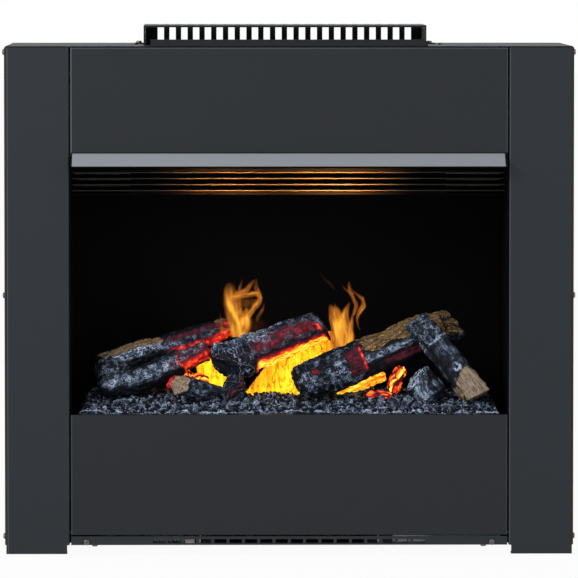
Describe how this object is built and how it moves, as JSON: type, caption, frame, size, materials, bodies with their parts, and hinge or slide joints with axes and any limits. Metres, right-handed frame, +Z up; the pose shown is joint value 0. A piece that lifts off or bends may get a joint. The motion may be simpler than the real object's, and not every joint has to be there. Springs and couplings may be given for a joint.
{
  "type": "wall-mounted electric fireplace",
  "caption": "Wall-hung electric fire with a mist flame over charred logs, a folded steel casing, a drop-down lower front, a pale heater deflector and a slotted top guard.",
  "frame": {"origin": "centre of the wall bracket's four fixing holes, on the wall plane", "axes": "+Z up, +Y into the wall, so the front looks along -Y; +X to the right seen from the front"},
  "size_m": [0.6878, 0.3341, 0.634],
  "materials": {
    "anthracite": "fine textured satin powder coat, anthracite",
    "deflector": "smooth satin pale grey paint",
    "firebox_black": "matt heat-resistant black",
    "zinc": "zinc-plated sheet steel",
    "screw_steel": "nickel-plated, hexagon socket",
    "char": "moulded resin, painted as charred wood with ash-grey cracks",
    "ember": "moulded translucent resin that glows when lit from below",
    "white_plastic": "moulded, satin",
    "black_plastic": "moulded, satin",
    "clear_tank": "frosted moulded tank",
    "motor_steel": "plain steel",
    "aluminium": "plain",
    "ceramic": "unglazed",
    "lamp_glass": "clear reflector lamp",
    "board_green": "circuit board with parts",
    "magnet": "magnet in a plastic case",
    "red_rocker": "glossy moulded",
    "sensor": "silvery case"
  },
  "bodies": {
    "casing": {"rear_panel": "zinc", "side_panel_left": "anthracite", "side_panel_right": "anthracite", "top_plate": "anthracite", "base_plate": "anthracite", "pilaster_left": "anthracite", "pilaster_right": "anthracite", "top_fascia": "anthracite", "outlet_lip": "deflector", "outlet_louvres": "firebox_black", "vent_guard": "anthracite", "top_rail": "anthracite", "wall_bracket": "zinc", "pan_head_screws": "screw_steel", "catch_magnets": "magnet", "firebox_back": "firebox_black", "firebox_side_left": "firebox_black", "firebox_side_right": "firebox_black", "firebox_ceiling": "firebox_black", "fuel_bed_tray": "firebox_black", "ember_bed": "char", "log_upper_left": "char", "log_lower_left": "char", "log_middle": "char", "log_long_right": "char", "log_leaning": "char", "log_chunk_left": "char", "log_chunk_right": "char", "ember_lumps": "ember", "heater_duct": "zinc", "heater_element": "ceramic", "heater_motor": "motor_steel", "lamp_tray": "zinc", "lamp_holders": "ceramic", "lamps": "lamp_glass", "mist_sump": "black_plastic", "mist_nozzle": "black_plastic", "ultrasonic_transducer": "motor_steel", "mist_fan_housing": "black_plastic", "mist_fan_motor": "black_plastic", "water_tank": "clear_tank", "control_board": "board_green", "board_standoffs": "white_plastic", "transformer": "motor_steel", "control_panel": "zinc", "rocker_body": "black_plastic", "knob_potentiometer": "motor_steel", "ir_receiver": "sensor", "cable_gland": "black_plastic"},
    "door": {"door_panel": "anthracite", "door_hinge_pins": "motor_steel"},
    "heater_rotor_body": {"heater_rotor": "aluminium"},
    "mist_fan_body": {"mist_fan_rotor": "black_plastic"},
    "float_body": {"level_float": "white_plastic"},
    "cap_body": {"tank_cap": "black_plastic"},
    "rocker_switch": {"mains_rocker": "red_rocker"},
    "standby_key": {"standby_button": "white_plastic"},
    "low_heat_key": {"low_heat_button": "white_plastic"},
    "high_heat_key": {"high_heat_button": "white_plastic"},
    "knob_body": {"flame_knob": "black_plastic"}
  },
  "joints": [
    {"name": "door_hinge", "type": "hinge", "parent": "casing", "child": "door", "pos_m": [0, -0.3064, -0.4737], "axis": [1, 0, 0], "range_deg": [0, 90]},
    {"name": "heater_rotor_spin", "type": "hinge", "parent": "casing", "child": "heater_rotor_body", "pos_m": [0, -0.1595, 0.045], "axis": [1, 0, 0], "continuous": true},
    {"name": "mist_fan_spin", "type": "hinge", "parent": "casing", "child": "mist_fan_body", "pos_m": [0, -0.137, -0.425], "axis": [0, 1, 0], "continuous": true},
    {"name": "float_rise", "type": "slide", "parent": "casing", "child": "float_body", "axis": [0, 0, 1], "range_m": [0, 0.0118]},
    {"name": "cap_turn", "type": "hinge", "parent": "casing", "child": "cap_body", "pos_m": [-0.169, -0.2335, -0.3717], "axis": [0, 0, 1], "range_deg": [0, 90]},
    {"name": "mains_rocker_tilt", "type": "hinge", "parent": "casing", "child": "rocker_switch", "pos_m": [0.15, -0.282, -0.395], "axis": [1, 0, 0], "range_deg": [0, 16]},
    {"name": "standby_press", "type": "slide", "parent": "casing", "child": "standby_key", "axis": [0, 1, 0], "range_m": [0, 0.0015], "stiffness_N_per_m": 300, "springref_m": -0.002},
    {"name": "low_heat_press", "type": "slide", "parent": "casing", "child": "low_heat_key", "axis": [0, 1, 0], "range_m": [0, 0.0015], "stiffness_N_per_m": 300, "springref_m": -0.002},
    {"name": "high_heat_press", "type": "slide", "parent": "casing", "child": "high_heat_key", "axis": [0, 1, 0], "range_m": [0, 0.0015], "stiffness_N_per_m": 300, "springref_m": -0.002},
    {"name": "flame_knob_turn", "type": "hinge", "parent": "casing", "child": "knob_body", "pos_m": [0.218, -0.285, -0.44], "axis": [0, 1, 0], "range_deg": [0, 270]}
  ]
}
